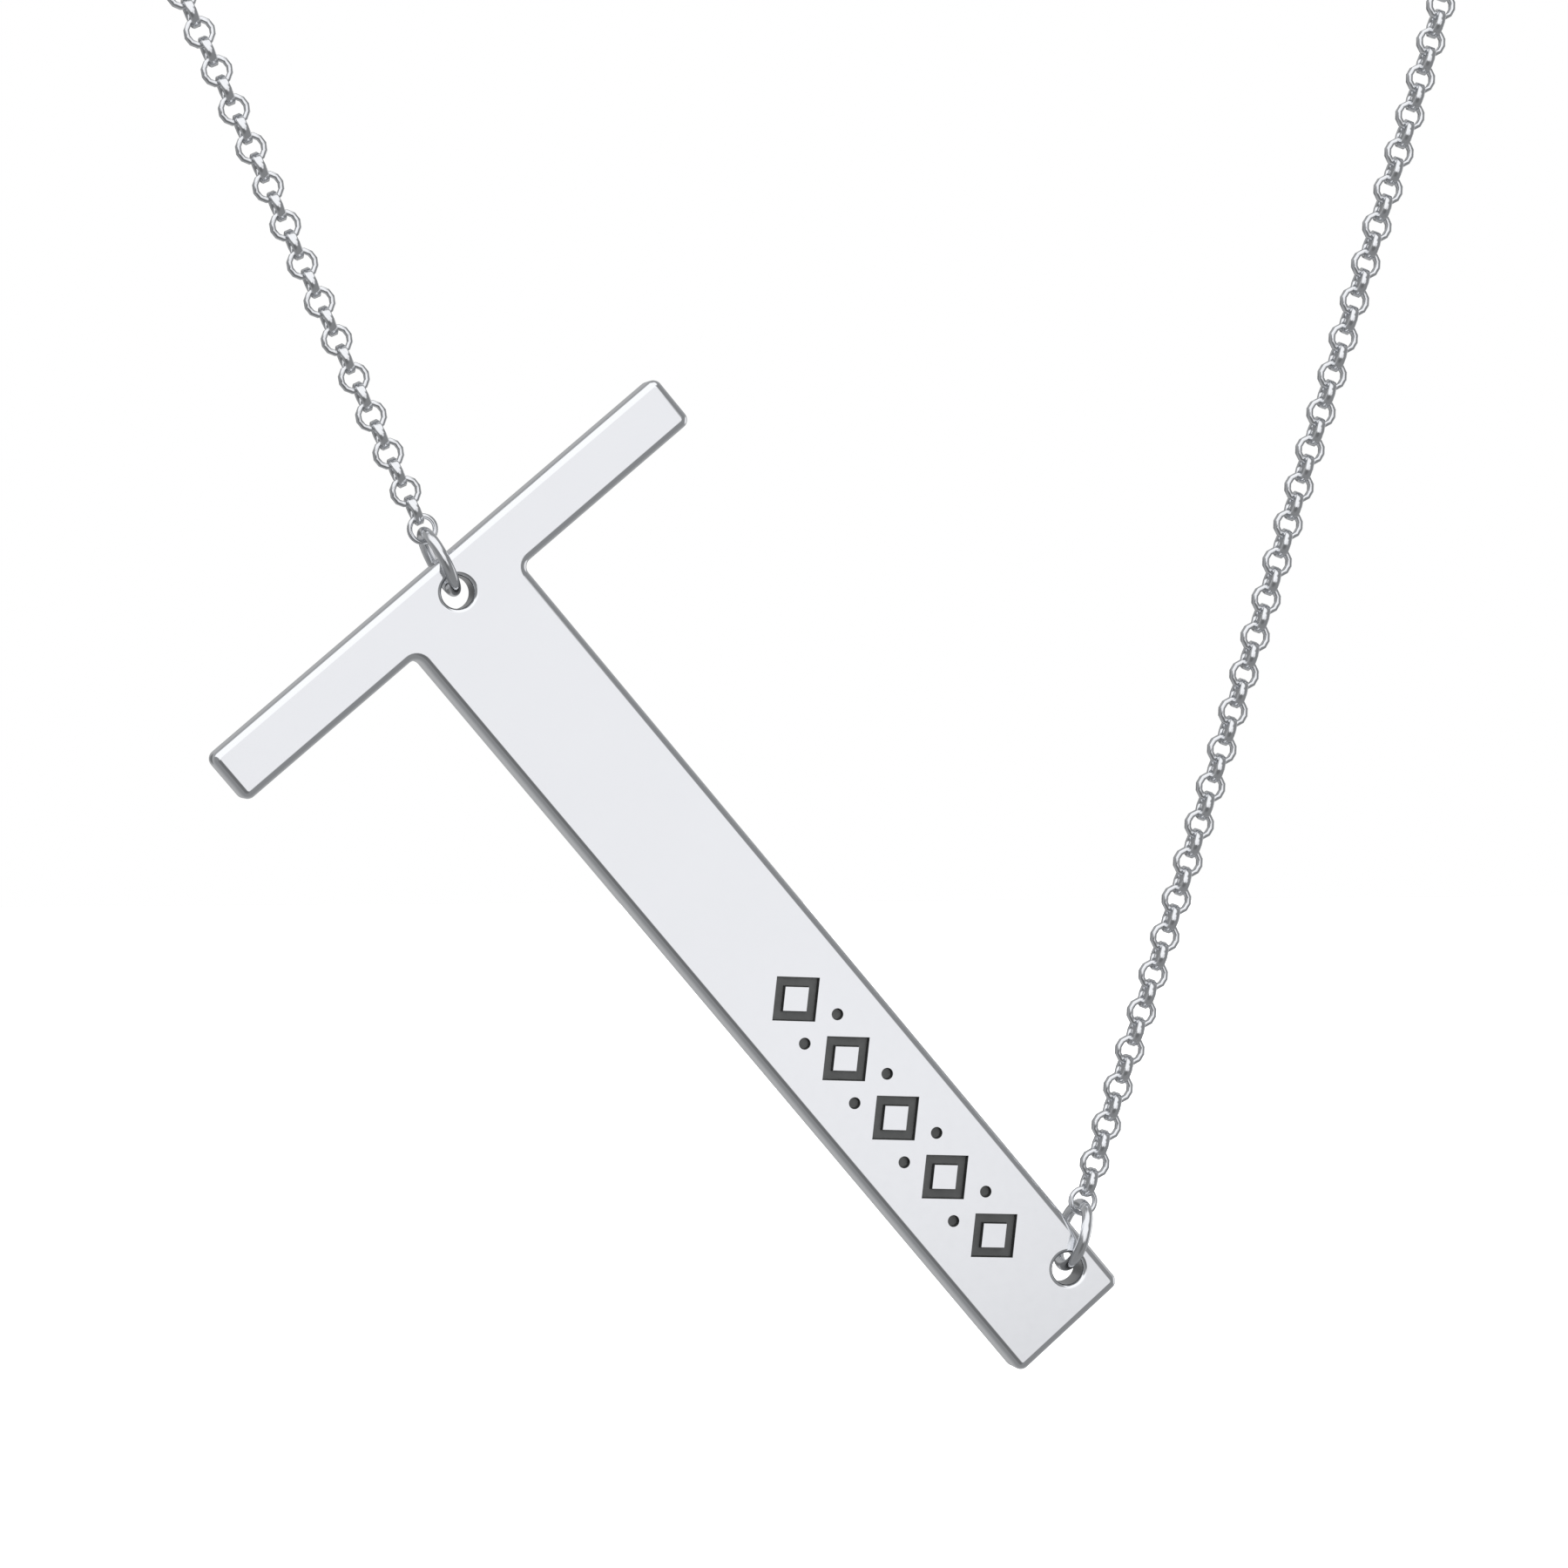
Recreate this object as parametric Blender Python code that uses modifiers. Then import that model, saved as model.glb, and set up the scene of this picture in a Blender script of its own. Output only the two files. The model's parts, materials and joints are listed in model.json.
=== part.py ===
"""Initial pendant necklace.

A flat T-shaped plate hangs on its side from a fine round-link chain. One jump ring goes through a
hole in the middle of the bar and another through a hole by the foot of the stem, and the chain runs
from ring to ring round the neck, closed by a spring ring at the nape.

The front faces -Y and +Z is up. The origin is the middle of the neck, level with the clasp.
"""

import math

import bmesh
import bpy
from mathutils import Matrix, Vector

# The plate: a T lying on its side, with its bar rising to the right
PLATE_LENGTH = 0.0500
BAR_LENGTH = 0.0287
BAR_HEIGHT = 0.00283
STEM_WIDTH = 0.00685
STEM_SHIFT = 0.00010
PLATE_THICKNESS = 0.0018
CORNER_RADIUS = 0.00046
FRONT_FILLET = 0.00041
BACK_FILLET = 0.00015
BAR_RISE = math.radians(40.7)
BAR_TOP = Vector((-0.0155, -0.0465, -0.0840))

# The two holes of the plate
HOLE_RADIUS = 0.00080
HOLE_RIM = 0.00022
BAR_HOLE_DROP = 0.00173
FOOT_HOLE_INSET = 0.00162
FOOT_HOLE_RISE = 0.00240

# The ornament sunk into the front of the stem: a row of lozenge outlines with pairs of dots between
ORNAMENT_LENGTH = 0.0188
ORNAMENT_WIDTH = 0.0032
ORNAMENT_FOOT = 0.0048
ORNAMENT_STROKE = 0.00050
ORNAMENT_DEPTH = 0.00030
LOZENGES = 5
LOZENGE_LENGTH = 0.0030
DOT_RADIUS = 0.00030
DOT_SPREAD = 0.0022

# The jump rings
RING_RADIUS = 0.00160
RING_WIRE = 0.00028
RING_PLAY = 0.00015
BAR_RING_LEAN = math.radians(-28.0)
FOOT_RING_LEAN = math.radians(17.5)
BAR_RING_TURN = math.radians(1.0)
FOOT_RING_TURN = math.radians(3.0)

# The round links of the chain
LINK_RADIUS = 0.000635
LINK_WIRE = 0.000135
LINK_PLAY = 0.00005

# The chain as one plain tube on each side, as thick as a link is wide
TUBE_GAP = 0.00010
TUBE_STEP = 0.0052
CURVE_STEPS = 24

# The spring ring at the nape
CLASP_RADIUS = 0.00235
CLASP_WIRE = 0.00065
CLASP_SEAT = Vector((0.0, 0.0454, 0.0))
EYE_RADIUS = 0.00090
EYE_WIRE = 0.00030
EYE_SINK = 0.00010
LEVER_RADIUS = 0.00030
LEVER_LENGTH = 0.00120

# The route of the chain, in metres: up the chest on each side, then from the side of the neck round
# to the nape, which is written for the right side and mirrored for the left
CHEST_LEFT = [
    (-0.02167, -0.0465, -0.0700),
    (-0.02807, -0.0465, -0.0560),
    (-0.03440, -0.0445, -0.0420),
    (-0.0408, -0.0375, -0.0285),
    (-0.0463, -0.0260, -0.0165),
]
CHEST_RIGHT = [
    (0.02415, -0.0465, -0.0960),
    (0.03025, -0.0465, -0.0760),
    (0.03635, -0.0465, -0.0560),
    (0.04050, -0.0445, -0.0420),
    (0.0443, -0.0375, -0.0285),
    (0.0480, -0.0260, -0.0165),
]
NECK_SIDE = [
    (0.0507, -0.0105, -0.0070),
    (0.0520, 0.0065, -0.0015),
    (0.0490, 0.0222, 0.0000),
    (0.0405, 0.0354, 0.0005),
    (0.0275, 0.0429, 0.0003),
]

# How finely the round pieces are cut
CORNER_STEPS = 4
FILLET_STEPS = 4
HOLE_STEPS = 32
RIM_STEPS = 3
DOT_STEPS = 16
RING_STEPS = 40
RING_WIRE_STEPS = 12
LINK_STEPS = 24
LINK_WIRE_STEPS = 8
CLASP_STEPS = 40
CLASP_WIRE_STEPS = 12
EYE_STEPS = 24

MERGE = 0.000001
FRONT = Vector((0.0, -1.0, 0.0))
RIGHT = Vector((1.0, 0.0, 0.0))
UP = Vector((0.0, 0.0, 1.0))


def clear_scene():
    """Empties the file of whatever it opened with."""
    for old in list(bpy.data.objects):
        bpy.data.objects.remove(old, do_unlink=True)


def new_collection(name):
    collection = bpy.data.collections.new(name)
    bpy.context.scene.collection.children.link(collection)
    return collection


def metal(name, colour, roughness):
    """A plain metal for one piece."""
    material = bpy.data.materials.new(name)
    material.use_nodes = True
    shader = material.node_tree.nodes["Principled BSDF"]
    shader.inputs["Base Color"].default_value = (*colour, 1.0)
    shader.inputs["Metallic"].default_value = 1.0
    shader.inputs["Roughness"].default_value = roughness
    return material


def new_object(name, mesh, collection, material=None):
    piece = bpy.data.objects.new(name, mesh)
    collection.objects.link(piece)
    if material is not None:
        mesh.materials.append(material)
    return piece


def object_from_bmesh(name, bm, collection, material=None):
    mesh = bpy.data.meshes.new(name)
    bm.to_mesh(mesh)
    bm.free()
    return new_object(name, mesh, collection, material)


def shade_round(piece):
    piece.data.shade_smooth()
    piece.data.set_sharp_from_angle(angle=math.radians(40.0))


def ring_turn(normal):
    """The turn that lays a ring made about +Z round a given axis."""
    return normal.to_track_quat("Z", "Y").to_matrix().to_4x4()


def hang_on(piece, carrier):
    """Parents a piece without moving it."""
    bpy.context.view_layer.update()
    piece.parent = carrier
    piece.matrix_parent_inverse = carrier.matrix_world.inverted()


def add_torus(name, centre, normal, radius, wire, steps, wire_steps, collection, material):
    """A round wire bent into a ring about an axis."""
    bpy.ops.mesh.primitive_torus_add(
        major_radius=radius,
        minor_radius=wire,
        major_segments=steps,
        minor_segments=wire_steps,
    )
    piece = bpy.context.active_object
    piece.name = name
    piece.data.name = name
    for owner in list(piece.users_collection):
        owner.objects.unlink(piece)
    collection.objects.link(piece)
    if material is not None:
        piece.data.materials.append(material)
    piece.matrix_world = Matrix.Translation(centre) @ ring_turn(normal)
    shade_round(piece)
    return piece


def plate_turn():
    """The plate is drawn upright, with its bar along X and its stem down -Z, and then turned."""
    return Matrix.Translation(BAR_TOP) @ Matrix.Rotation(-BAR_RISE, 4, "Y")


def plate_outline():
    """The corners of the upright T, as X and Z, round from the bar's upper left."""
    half_bar = BAR_LENGTH / 2
    stem_left = -STEM_WIDTH / 2 - STEM_SHIFT
    stem_right = STEM_WIDTH / 2 - STEM_SHIFT
    return [
        (-half_bar, 0.0),
        (-half_bar, -BAR_HEIGHT),
        (stem_left, -BAR_HEIGHT),
        (stem_left, -PLATE_LENGTH),
        (stem_right, -PLATE_LENGTH),
        (stem_right, -BAR_HEIGHT),
        (half_bar, -BAR_HEIGHT),
        (half_bar, 0.0),
    ]


def hole_places():
    """The middles of the two holes on the upright plate."""
    bar_hole = Vector((0.0, 0.0, -BAR_HOLE_DROP))
    foot_side = STEM_WIDTH / 2 - STEM_SHIFT - FOOT_HOLE_INSET
    foot_hole = Vector((foot_side, 0.0, FOOT_HOLE_RISE - PLATE_LENGTH))
    return bar_hole, foot_hole


def make_plate(collection, material):
    """The solid T with rounded corners and rounded edges, before it is pierced."""
    bm = bmesh.new()
    front = -PLATE_THICKNESS / 2
    corners = [bm.verts.new((x, front, z)) for x, z in plate_outline()]
    bm.faces.new(corners)
    bmesh.ops.bevel(
        bm,
        geom=corners,
        affect="VERTICES",
        offset=CORNER_RADIUS,
        segments=CORNER_STEPS,
        profile=0.5,
    )
    walls = bmesh.ops.extrude_face_region(bm, geom=bm.faces[:])
    moved = [part for part in walls["geom"] if isinstance(part, bmesh.types.BMVert)]
    bmesh.ops.translate(bm, verts=moved, vec=(0.0, PLATE_THICKNESS, 0.0))
    bmesh.ops.recalc_face_normals(bm, faces=bm.faces[:])
    weights = bm.edges.layers.float.new("bevel_weight_edge")
    for edge in bm.edges:
        if edge.calc_face_angle() > math.radians(60.0):
            at_front = edge.verts[0].co.y < 0.0
            edge[weights] = 1.0 if at_front else BACK_FILLET / FRONT_FILLET
    plate = object_from_bmesh("initial_plate", bm, collection, material)
    bevel = plate.modifiers.new("edge_fillets", "BEVEL")
    bevel.width = FRONT_FILLET
    bevel.segments = FILLET_STEPS
    bevel.limit_method = "WEIGHT"
    return plate


def hole_profile():
    """Half the cut of a hole, from one side of the plate to the other, as radius and depth."""
    half = PLATE_THICKNESS / 2
    rim = []
    for step in range(RIM_STEPS + 1):
        angle = math.pi / 2 * (1 - step / RIM_STEPS)
        out = HOLE_RADIUS + HOLE_RIM * (1 - math.cos(angle))
        rim.append((out, half - HOLE_RIM * (1 - math.sin(angle))))
    run = rim[0][0] - rim[1][0]
    rise = rim[0][1] - rim[1][1]
    mouth = (rim[0][0] + 3 * run, rim[0][1] + 3 * rise)
    top = [(0.0, mouth[1]), mouth] + rim[1:]
    return top + [(out, -depth) for out, depth in reversed(top)]


def make_hole_cutter(name, place, collection):
    """A turned plug with flared ends that leaves a hole with rounded rims."""
    bm = bmesh.new()
    points = [bm.verts.new((out, 0.0, depth)) for out, depth in hole_profile()]
    for first, second in zip(points, points[1:]):
        bm.edges.new((first, second))
    cutter = object_from_bmesh(name, bm, collection)
    screw = cutter.modifiers.new("turn", "SCREW")
    screw.steps = HOLE_STEPS
    screw.render_steps = HOLE_STEPS
    screw.use_merge_vertices = True
    screw.merge_threshold = MERGE
    cutter.matrix_world = (
        plate_turn() @ Matrix.Translation(place) @ Matrix.Rotation(math.pi / 2, 4, "X")
    )
    return cutter


def lozenge_outline(bm, middle, length, width, stroke):
    """Draws a lozenge with an open middle as flat faces on the plane Y = 0."""
    ends = [
        (0.0, middle + length / 2),
        (-width / 2, middle),
        (0.0, middle - length / 2),
        (width / 2, middle),
    ]
    face = bm.faces.new([bm.verts.new((x, 0.0, z)) for x, z in ends])
    face.normal_update()
    bmesh.ops.inset_individual(bm, faces=[face], thickness=stroke, use_even_offset=True)
    bmesh.ops.delete(bm, geom=[face], context="FACES")


def dot_outline(bm, side, middle):
    """Draws a round dot as a flat face on the plane Y = 0."""
    place = Matrix.Translation((side, 0.0, middle)) @ Matrix.Rotation(math.pi / 2, 4, "X")
    bmesh.ops.create_circle(
        bm, cap_ends=True, segments=DOT_STEPS, radius=DOT_RADIUS, matrix=place
    )


def make_ornament_cutter(collection):
    """The row of lozenges and dots, as a cutter that reaches the ornament's depth."""
    bm = bmesh.new()
    foot = ORNAMENT_FOOT - PLATE_LENGTH
    pitch = (ORNAMENT_LENGTH - LOZENGE_LENGTH) / (LOZENGES - 1)
    for number in range(LOZENGES):
        middle = foot + LOZENGE_LENGTH / 2 + number * pitch
        lozenge_outline(bm, middle, LOZENGE_LENGTH, ORNAMENT_WIDTH, ORNAMENT_STROKE)
        if number == 0:
            continue
        for side in (-DOT_SPREAD / 2, DOT_SPREAD / 2):
            dot_outline(bm, side, middle - pitch / 2)
    solid = bmesh.ops.extrude_face_region(bm, geom=bm.faces[:])
    moved = [part for part in solid["geom"] if isinstance(part, bmesh.types.BMVert)]
    bmesh.ops.translate(bm, verts=moved, vec=(0.0, -2 * ORNAMENT_DEPTH, 0.0))
    bmesh.ops.recalc_face_normals(bm, faces=bm.faces[:])
    cutter = object_from_bmesh("ornament_cutter", bm, collection)
    floor = ORNAMENT_DEPTH - PLATE_THICKNESS / 2
    cutter.matrix_world = plate_turn() @ Matrix.Translation((-STEM_SHIFT, floor, 0.0))
    return cutter


def cut(piece, cutter):
    """Takes the cutter's shape out of the piece and hides the cutter."""
    boolean = piece.modifiers.new(cutter.name, "BOOLEAN")
    boolean.operation = "DIFFERENCE"
    boolean.solver = "EXACT"
    boolean.object = cutter
    cutter.hide_render = True
    cutter.display_type = "WIRE"


def join(piece, other):
    """Solders the other shape to the piece and hides the loose copy."""
    boolean = piece.modifiers.new(other.name, "BOOLEAN")
    boolean.operation = "UNION"
    boolean.solver = "EXACT"
    boolean.object = other
    other.hide_render = True
    other.display_type = "WIRE"


def lean(angle):
    """A direction in the plate's plane, leaning from straight up towards +X."""
    return Vector((math.sin(angle), 0.0, math.cos(angle)))


def ring_seat():
    """How far a jump ring's middle lies from the hole it hangs in, with play at the rounded rim."""
    reach = RING_RADIUS - RING_WIRE - RING_PLAY
    rounded = HOLE_RIM * (1 - math.sqrt(0.5))
    depth = PLATE_THICKNESS / 2 - rounded
    return HOLE_RADIUS + rounded + math.sqrt(reach**2 - depth**2)


def ring_inner():
    return RING_RADIUS - RING_WIRE


def link_offset():
    """How far a link's middle lies past the inner side of the wire that it hangs on."""
    return LINK_RADIUS - LINK_WIRE - LINK_PLAY


def make_ring(name, centre, normal, collection, material):
    return add_torus(
        name,
        centre,
        normal,
        RING_RADIUS,
        RING_WIRE,
        RING_STEPS,
        RING_WIRE_STEPS,
        collection,
        material,
    )


def make_link(name, centre, normal, collection, material):
    return add_torus(
        name,
        centre,
        normal,
        LINK_RADIUS,
        LINK_WIRE,
        LINK_STEPS,
        LINK_WIRE_STEPS,
        collection,
        material,
    )


def curve_point(before, start, end, after, share):
    """A point between start and end on the smooth curve through all four."""
    return 0.5 * (
        2 * start
        + (end - before) * share
        + (2 * before - 5 * start + 4 * end - after) * share**2
        + (3 * start - before - 3 * end + after) * share**3
    )


def smooth_route(points):
    """A dense smooth curve through the points, straight at its two ends."""
    first = 2 * points[0] - points[1]
    last = 2 * points[-1] - points[-2]
    padded = [first, *points, last]
    dense = []
    for place in range(len(points) - 1):
        for step in range(CURVE_STEPS):
            dense.append(curve_point(*padded[place : place + 4], step / CURVE_STEPS))
    dense.append(points[-1])
    return dense


def even_route(points, spacing):
    """Points an even distance apart along the smooth curve through the given ones."""
    dense = smooth_route(points)
    lengths = [(b - a).length for a, b in zip(dense, dense[1:])]
    total = sum(lengths)
    count = math.ceil(total / spacing)
    result = [dense[0]]
    walked = 0.0
    for start, end, length in zip(dense, dense[1:], lengths):
        while len(result) < count and walked + length >= len(result) * total / count:
            share = (len(result) * total / count - walked) / length
            result.append(start.lerp(end, share))
        walked += length
    result.append(dense[-1])
    return result


def make_chain(name, points, collection, material):
    """One side of the chain, as a tube along its route."""
    route = even_route(points, TUBE_STEP)
    curve = bpy.data.curves.new(name, "CURVE")
    curve.dimensions = "3D"
    curve.bevel_depth = LINK_RADIUS + LINK_WIRE
    curve.bevel_resolution = 2
    curve.use_fill_caps = True
    spline = curve.splines.new("POLY")
    spline.points.add(len(route) - 1)
    for control, place in zip(spline.points, route):
        control.co = (*place, 1.0)
    curve.materials.append(material)
    chain = bpy.data.objects.new(name, curve)
    collection.objects.link(chain)
    return chain


def make_clasp(collection, helpers, material):
    """A plain closed spring ring with its eye on the left and its lever on top."""
    clasp = add_torus(
        "clasp",
        CLASP_SEAT,
        FRONT,
        CLASP_RADIUS,
        CLASP_WIRE,
        CLASP_STEPS,
        CLASP_WIRE_STEPS,
        collection,
        material,
    )
    eye = add_torus(
        "clasp_eye",
        eye_middle(),
        FRONT,
        EYE_RADIUS,
        EYE_WIRE,
        EYE_STEPS,
        LINK_WIRE_STEPS,
        helpers,
        None,
    )
    bm = bmesh.new()
    bmesh.ops.create_cone(
        bm,
        cap_ends=True,
        segments=DOT_STEPS,
        radius1=LEVER_RADIUS,
        radius2=LEVER_RADIUS,
        depth=LEVER_LENGTH,
    )
    lever = object_from_bmesh("clasp_lever", bm, helpers)
    lever.location = CLASP_SEAT + UP * (CLASP_RADIUS + CLASP_WIRE)
    join(clasp, eye)
    join(clasp, lever)
    return clasp


def eye_middle():
    """The middle of the clasp's eye, whose wire is sunk a little into the spring ring."""
    return CLASP_SEAT - RIGHT * (CLASP_RADIUS + CLASP_WIRE + EYE_RADIUS - EYE_SINK)


def make_front_end(side, hole, along, normal, first_point, root, moving, material):
    """The jump ring in one hole of the plate and the link that holds it, as the plate hangs."""
    centre = hole + along * ring_seat()
    ring = make_ring(f"jump_ring_{side}", centre, normal, moving, material)
    pivot = centre + along * ring_inner()
    onward = (first_point - pivot).normalized()
    middle = pivot + onward * link_offset()
    make_link(f"end_link_{side}", middle, FRONT, root, material)
    return ring, pivot, middle + onward * (LINK_RADIUS + LINK_WIRE + TUBE_GAP)


def make_back_end(side, held_at, outward, normal, root, material):
    """The last link at the nape, hung on the wire whose inner side is at held_at."""
    middle = held_at + outward * link_offset()
    make_link(f"back_link_{side}", middle, normal, root, material)
    return middle + outward * (LINK_RADIUS + LINK_WIRE + TUBE_GAP)


def main():
    clear_scene()
    pieces = new_collection("initial_pendant_necklace")
    cutters = new_collection("cutters")
    plate_silver = metal("plate_silver", (0.86, 0.87, 0.89), 0.12)
    wire_silver = metal("wire_silver", (0.80, 0.81, 0.83), 0.15)

    plate = make_plate(pieces, plate_silver)
    plate.matrix_world = plate_turn()
    bar_hole, foot_hole = hole_places()
    cut(plate, make_hole_cutter("bar_hole_cutter", bar_hole, cutters))
    cut(plate, make_hole_cutter("foot_hole_cutter", foot_hole, cutters))
    cut(plate, make_ornament_cutter(cutters))

    bar_hole_world = plate_turn() @ bar_hole
    foot_hole_world = plate_turn() @ foot_hole
    chest_left = [Vector(place) for place in CHEST_LEFT]
    chest_right = [Vector(place) for place in CHEST_RIGHT]
    up_left = lean(BAR_RING_LEAN)
    up_right = lean(FOOT_RING_LEAN)
    side_left = Matrix.Rotation(BAR_RING_TURN, 3, up_left) @ up_left.cross(FRONT)
    side_right = Matrix.Rotation(FOOT_RING_TURN, 3, up_right) @ up_right.cross(FRONT)
    ring_left, pivot_left, start_left = make_front_end(
        "left", bar_hole_world, up_left, side_left, chest_left[0], pieces, pieces, wire_silver
    )
    ring_right, pivot_right, start_right = make_front_end(
        "right", foot_hole_world, up_right, side_right, chest_right[0], pieces, pieces, wire_silver
    )

    # The plate and its two rings rock together about the line between the two end links
    rock = bpy.data.objects.new("pendant_axis", None)
    rock.empty_display_size = RING_RADIUS
    rock.location = pivot_left
    rock.rotation_mode = "QUATERNION"
    rock.rotation_quaternion = (pivot_right - pivot_left).to_track_quat("X", "Z")
    pieces.objects.link(rock)
    for moving in (plate, ring_left, ring_right):
        hang_on(moving, rock)

    make_clasp(pieces, cutters, wire_silver)
    catch = CLASP_SEAT + RIGHT * (CLASP_RADIUS - CLASP_WIRE - RING_PLAY - RING_WIRE + RING_RADIUS)
    make_ring("clasp_ring", catch, UP, pieces, wire_silver)
    eye_held = eye_middle() - RIGHT * (EYE_RADIUS - EYE_WIRE)
    ring_held = catch + RIGHT * ring_inner()
    end_left = make_back_end("left", eye_held, -RIGHT, UP, pieces, wire_silver)
    end_right = make_back_end("right", ring_held, RIGHT, FRONT, pieces, wire_silver)

    neck_right = [Vector(place) for place in NECK_SIDE]
    neck_left = [Vector((-x, y, z)) for x, y, z in NECK_SIDE]
    route_left = [start_left, *chest_left, *neck_left, end_left]
    route_right = [start_right, *chest_right, *neck_right, end_right]
    make_chain("chain_left", route_left, pieces, wire_silver)
    make_chain("chain_right", route_right, pieces, wire_silver)


main()
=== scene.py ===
"""Initial pendant necklace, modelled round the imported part.

A flat silver plate in the shape of a T hangs on its side from a round-link chain. A jump ring goes
through each of its two holes, and a spring ring closes the chain at the nape. The front faces -Y,
+Z is up, and the origin is the middle of the neck, level with the clasp.
"""

import json
import math
from functools import partial

import bmesh
import bpy
from bpy.props import FloatProperty, FloatVectorProperty, IntProperty, PointerProperty
from mathutils import Matrix, Vector

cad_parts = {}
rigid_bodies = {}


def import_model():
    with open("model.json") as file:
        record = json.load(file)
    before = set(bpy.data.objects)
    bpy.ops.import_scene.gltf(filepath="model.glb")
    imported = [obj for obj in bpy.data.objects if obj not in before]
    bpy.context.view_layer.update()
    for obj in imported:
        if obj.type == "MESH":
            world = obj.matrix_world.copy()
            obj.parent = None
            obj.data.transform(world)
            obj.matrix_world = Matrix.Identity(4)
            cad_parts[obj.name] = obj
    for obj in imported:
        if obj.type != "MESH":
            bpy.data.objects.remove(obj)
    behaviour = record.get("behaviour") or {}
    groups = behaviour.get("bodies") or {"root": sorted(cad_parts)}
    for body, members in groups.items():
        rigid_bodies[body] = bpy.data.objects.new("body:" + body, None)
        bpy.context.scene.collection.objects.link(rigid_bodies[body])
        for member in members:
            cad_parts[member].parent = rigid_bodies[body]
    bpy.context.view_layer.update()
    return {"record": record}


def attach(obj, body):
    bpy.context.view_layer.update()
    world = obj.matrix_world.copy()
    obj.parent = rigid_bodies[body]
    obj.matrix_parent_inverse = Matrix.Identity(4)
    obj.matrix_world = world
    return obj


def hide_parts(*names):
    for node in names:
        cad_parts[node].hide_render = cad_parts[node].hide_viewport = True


bl_info = {
    "name": "Initial pendant necklace",
    "version": (1, 0, 0),
    "blender": (4, 5, 0),
    "location": "View3D > Sidebar > Necklace",
    "description": "Models a silver necklace with a T-shaped plate on a round-link chain",
    "category": "Add Mesh",
}

for opened_with in list(bpy.data.objects):
    bpy.data.objects.remove(opened_with, do_unlink=True)

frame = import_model()
SLOT_COLOURS = {slot["slot"]: slot["base_color"][:3] for slot in frame["record"]["materials"]}

FRONT = Vector((0.0, -1.0, 0.0))
RIGHT = Vector((1.0, 0.0, 0.0))
UP = Vector((0.0, 0.0, 1.0))
QUARTER = math.pi / 2
WHITE = (1.0, 1.0, 1.0)

# Points nearer than this fall together
MERGE = 0.0000005

# The route of the chain, in metres: up the chest on each side, then from the side of the neck
# round to the nape, which is written for the right side and mirrored for the left. The widest point
# lies a hair inside the tube's own, so that the links' edges stay inside the tube's flat sides.
CHEST_LEFT = [
    (-0.02167, -0.0465, -0.0700),
    (-0.02807, -0.0465, -0.0560),
    (-0.03440, -0.0445, -0.0420),
    (-0.0408, -0.0375, -0.0285),
    (-0.0463, -0.0260, -0.0165),
]
CHEST_RIGHT = [
    (0.02415, -0.0465, -0.0960),
    (0.03025, -0.0465, -0.0760),
    (0.03635, -0.0465, -0.0560),
    (0.04050, -0.0445, -0.0420),
    (0.0443, -0.0375, -0.0285),
    (0.0480, -0.0260, -0.0165),
]
NECK_SIDE = [
    (0.0507, -0.0105, -0.0070),
    (0.05192, 0.0065, -0.0015),
    (0.0490, 0.0222, 0.0000),
    (0.0405, 0.0354, 0.0005),
    (0.0275, 0.0429, 0.0003),
]

# How many links of each run come before the slow turn that brings the last one to its place
CHEST_LINKS = 60

# How finely the curves and the round pieces are cut
CURVE_STEPS = 24
CORNER_STEPS = 8
FILLET_STEPS = 8
HOLE_STEPS = 64
RIM_STEPS = 6
DOT_STEPS = 28
JOINT_STEPS = 2
CLASP_EDGE_STEPS = 3
SLOT_STEPS = 12
STALK_STEPS = 20

# How finely the bent wires are cut, first round the wire and then along it
RING_CUT = (20, 64)
END_LINK_CUT = (12, 36)
LINK_CUT = (8, 12)
CLASP_CUT = (24, 72)
BOLT_CUT = (24, 16)
EYE_CUT = (16, 40)

# How far a hole's cutter runs on past the plate's face, in facets of its rim
MOUTH_REACH = 3

# Edges that turn by more than this are the rims of a cut end
RIM_TURN = math.radians(60.0)

# The rounding of a jump ring's two ends, as a share of its wire's radius, and where its joint
# lies, counted from the top of the ring towards the front
JOINT_ROUNDING = 0.10
BAR_JOINT_PLACE = math.radians(205.0)
FOOT_JOINT_PLACE = math.radians(24.0)

# The clasp's small forms, as shares of its tube's radius, and the stalk's share of its knob's
END_ROUNDING = 0.14
SLOT_WIDTH = 0.42
SLOT_DEPTH = 0.9
SLOT_WALL = 0.97
COLLAR_RADIUS = 1.13
COLLAR_WIDTH = 0.62
BOLT_RADIUS = 0.62
LEVER_FOOT = 0.45
KNOB_RADIUS = 0.50
STALK_RADIUS = 0.55

# Their places round the spring ring, from its right side towards its lever, and last the middle
# of the slot's dark faces and how far they go each way
BOLT_START = math.radians(24.0)
BOLT_SWEEP = math.radians(36.0)
BOLT_HIDDEN = math.radians(8.0)
COLLAR_INSET = math.radians(5.0)
SLOT_START = math.radians(84.0)
SLOT_SWEEP = math.radians(44.0)
SLOT_MIDDLE = 1.85
SLOT_REACH = 0.42

# Which sockets of a colour mixing node hold the colours that it mixes, and its result
MIX_BELOW = 6
MIX_ABOVE = 7
MIX_RESULT = 2

# The studio's cards: the direction of each one's middle, and the angles in degrees from it within
# which the card is full and past which it is gone
FAR_WALL = ((0.0, 1.0, 0.0), 20.0, 105.0)
FAR_FLAG = ((-0.30, 0.953, -0.02), 8.0, 17.0)
RIGHT_CARD = ((0.968, 0.20, -0.02), 16.0, 28.0)
LOW_FLAG = ((-0.186, -0.899, -0.393), 10.0, 32.0)
SOFT_BOX = ((-0.42, -0.35, 0.84), 68.0, 74.0)
TOP_CARD = ((0.12, -0.40, 0.91), 18.0, 32.0)
FRONT_CARD = ((0.22, -0.975, 0.03), 6.0, 20.0)

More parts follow.
